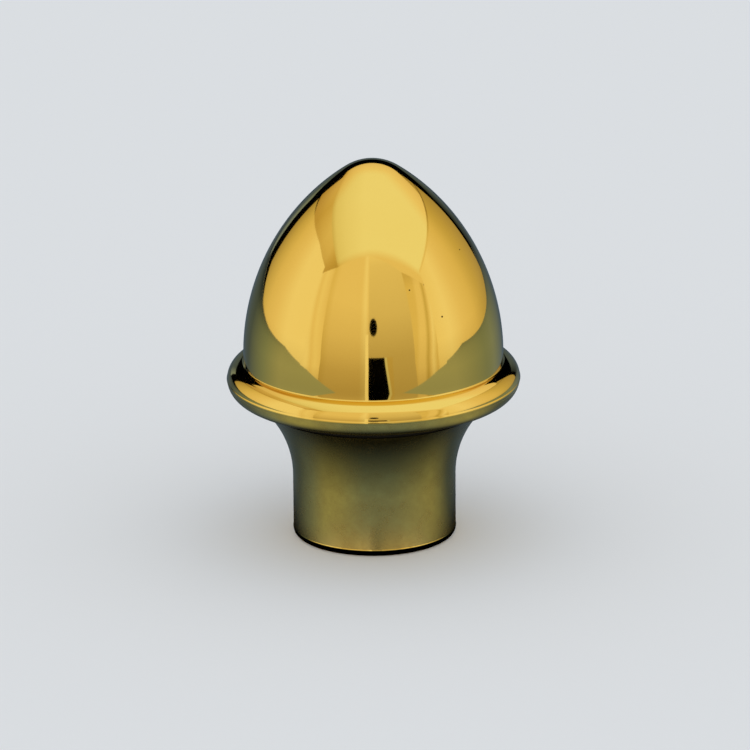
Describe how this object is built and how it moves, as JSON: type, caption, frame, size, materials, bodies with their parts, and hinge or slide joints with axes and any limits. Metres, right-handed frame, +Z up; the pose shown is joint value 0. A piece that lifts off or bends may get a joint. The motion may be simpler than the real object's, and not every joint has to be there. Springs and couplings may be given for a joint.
{
  "type": "flagpole finial",
  "caption": "Polished brass acorn-shaped finial with a half-round bead and a flared neck that sockets over the top of a round pole.",
  "frame": {"origin": "middle of the neck's foot, on the plane the finial stands on", "axes": "+Z up along the pole's axis, from the foot to the nose; +X and +Y are any pair across it, because the part is round"},
  "size_m": [0.0538, 0.0538, 0.0712],
  "materials": {
    "brass": "polished head and bead, duller satin neck"
  },
  "bodies": {
    "root": {"finial": "brass"}
  },
  "joints": []
}
